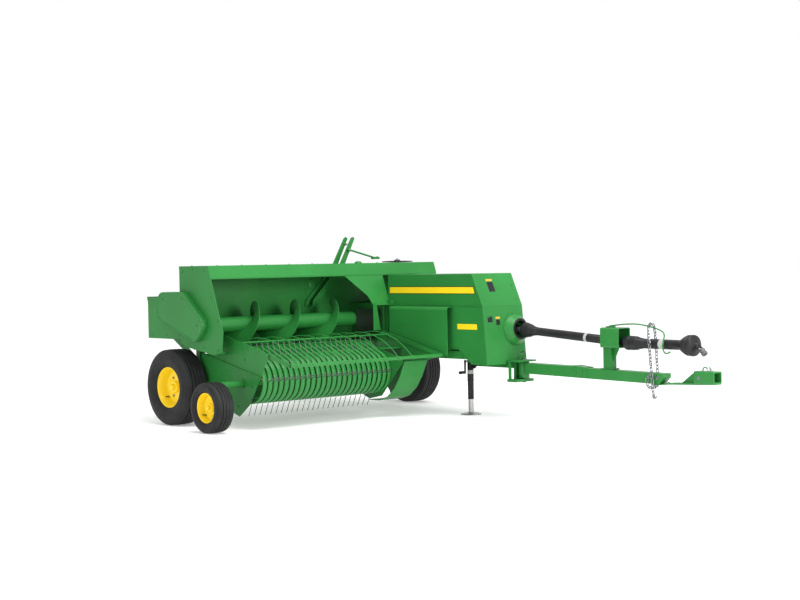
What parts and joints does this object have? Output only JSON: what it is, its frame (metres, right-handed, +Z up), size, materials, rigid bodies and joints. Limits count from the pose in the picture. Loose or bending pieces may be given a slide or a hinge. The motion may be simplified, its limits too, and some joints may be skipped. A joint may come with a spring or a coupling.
{
  "type": "square baler",
  "caption": "Towed farm baler with a cross auger house, tined pickup, bale chamber, covered plunger case, folding tongue and jointed driveline on two main wheels and a gauge wheel.",
  "frame": {"origin": "centre of the bounding box at ground level, below the machine", "axes": "+X points ahead to the hitch, +Y to the machine's left, where the bale chamber is, +Z up"},
  "size_m": [6.073, 3.31, 1.714],
  "materials": {
    "green_paint": "gloss",
    "yellow_paint": "gloss",
    "tyre_rubber": "matte",
    "black_parts": "satin",
    "bare_steel": "satin",
    "zinc_chain": "bright"
  },
  "bodies": {
    "base": {"axle_beam": "green_paint", "main_frame": "green_paint", "tongue_bracket": "green_paint", "bale_chamber": "green_paint", "tension_frame": "green_paint", "knotter_unit": "bare_steel", "lower_case": "green_paint", "driveline_dish": "green_paint", "gearbox_block": "bare_steel", "feeder_shield": "green_paint", "house_roof": "green_paint", "house_end_panel": "green_paint", "house_rear_panel": "green_paint", "house_left_panel": "green_paint", "house_front_panel": "green_paint", "feed_floor": "green_paint", "drive_shield": "green_paint", "twine_box": "green_paint", "jack_sleeve": "black_parts"},
    "right_wheel": {"right_wheel_tyre": "tyre_rubber", "right_wheel_rim": "yellow_paint"},
    "left_wheel": {"left_wheel_tyre": "tyre_rubber", "left_wheel_rim": "yellow_paint"},
    "pickup": {"pickup_bands": "green_paint", "pickup_right_shield": "green_paint", "pickup_left_shield": "green_paint", "gauge_arm": "green_paint"},
    "gauge_wheel": {"gauge_wheel_tyre": "tyre_rubber", "gauge_wheel_rim": "yellow_paint"},
    "reel": {"pickup_reel": "bare_steel"},
    "guard": {"windguard": "green_paint"},
    "cross_auger": {"auger": "green_paint"},
    "feeder": {"feeder_arms": "green_paint"},
    "link": {"feeder_link": "green_paint"},
    "crank": {"feeder_crank": "black_parts"},
    "drawbar": {"tongue": "green_paint", "driveline_support": "green_paint", "driveline_holder": "green_paint", "hitch_clevis": "green_paint", "safety_chain": "zinc_chain"},
    "rear_shaft": {"driveline_rear": "black_parts"},
    "front_shaft": {"driveline_front": "black_parts"},
    "stand": {"jack_leg": "bare_steel"},
    "chute": {"bale_chute": "green_paint"},
    "needles": {"needle_yoke": "green_paint"},
    "cover": {"knotter_cover": "green_paint"},
    "cowl": {"upper_cowl": "green_paint"},
    "lid": {"twine_lid": "green_paint"}
  },
  "joints": [
    {"name": "right_wheel_spin", "type": "hinge", "parent": "base", "child": "right_wheel", "pos_m": [-1.2065, -1.365, 0.348], "axis": [0, 1, 0], "continuous": true},
    {"name": "left_wheel_spin", "type": "hinge", "parent": "base", "child": "left_wheel", "pos_m": [-1.2065, 1.535, 0.348], "axis": [0, 1, 0], "continuous": true},
    {"name": "pickup_lift", "type": "hinge", "parent": "base", "child": "pickup", "pos_m": [-0.6065, -0.365, 0.668], "axis": [0, -1, 0], "range_deg": [0, 18]},
    {"name": "gauge_wheel_spin", "type": "hinge", "parent": "pickup", "child": "gauge_wheel", "pos_m": [-0.3565, -1.565, 0.222], "axis": [0, 1, 0], "continuous": true},
    {"name": "reel_spin", "type": "hinge", "parent": "pickup", "child": "reel", "pos_m": [-0.2865, -0.365, 0.43], "axis": [0, 1, 0], "continuous": true},
    {"name": "windguard_lift", "type": "hinge", "parent": "pickup", "child": "guard", "pos_m": [-0.4365, -0.365, 0.762], "axis": [0, -1, 0], "range_deg": [0, 30]},
    {"name": "auger_spin", "type": "hinge", "parent": "base", "child": "cross_auger", "pos_m": [-0.8265, -0.365, 0.913], "axis": [0, 1, 0], "continuous": true},
    {"name": "feeder_swing", "type": "hinge", "parent": "base", "child": "feeder", "pos_m": [-1.0365, 0.465, 1.405], "axis": [1, 0, 0], "range_deg": [0, 38]},
    {"name": "link_swing", "type": "hinge", "parent": "feeder", "child": "link", "pos_m": [-1.0245, 0.57, 1.585], "axis": [1, 0, 0], "range_deg": [-38, 0]},
    {"name": "crank_spin", "type": "hinge", "parent": "base", "child": "crank", "pos_m": [-0.9365, 1.125, 1.451], "axis": [0, 0, 1], "continuous": true},
    {"name": "tongue_swing", "type": "hinge", "parent": "base", "child": "drawbar", "pos_m": [0.8635, 1.065, 0.45], "axis": [0, 0, 1], "range_deg": [-20, 10]},
    {"name": "driveline_rear_spin", "type": "hinge", "parent": "drawbar", "child": "rear_shaft", "pos_m": [0.8635, 1.065, 0.811], "axis": [0.9975, 0, -0.0706], "continuous": true},
    {"name": "driveline_front_spin", "type": "hinge", "parent": "drawbar", "child": "front_shaft", "pos_m": [2.1135, 1.065, 0.7225], "axis": [1, 0, -0.0069], "continuous": true},
    {"name": "jack_slide", "type": "slide", "parent": "base", "child": "stand", "axis": [0, 0, 1], "range_m": [-0.15, 0.12]},
    {"name": "chute_fold", "type": "hinge", "parent": "base", "child": "chute", "pos_m": [-2.7448, 0.925, 0.628], "axis": [0, 1, 0], "range_deg": [0, 85]},
    {"name": "needle_lift", "type": "hinge", "parent": "base", "child": "needles", "pos_m": [-1.2365, 0.925, 0.7], "axis": [0, 1, 0], "range_deg": [0, 50]},
    {"name": "cover_open", "type": "hinge", "parent": "base", "child": "cover", "pos_m": [-1.6565, 1.191, 1.07], "axis": [-1, 0, 0], "range_deg": [0, 80]},
    {"name": "cowl_open", "type": "hinge", "parent": "base", "child": "cowl", "pos_m": [-0.5565, 1.185, 1.0343], "axis": [-1, 0, 0], "range_deg": [0, 75]},
    {"name": "lid_open", "type": "hinge", "parent": "base", "child": "lid", "pos_m": [-1.139, -0.395, 1.1735], "axis": [0, 1, 0], "range_deg": [0, 80]}
  ],
  "couplings": [
    {"joint": "link_swing", "follows": "feeder_swing", "ratio": -1},
    {"joint": "driveline_front_spin", "follows": "driveline_rear_spin", "ratio": 1}
  ]
}
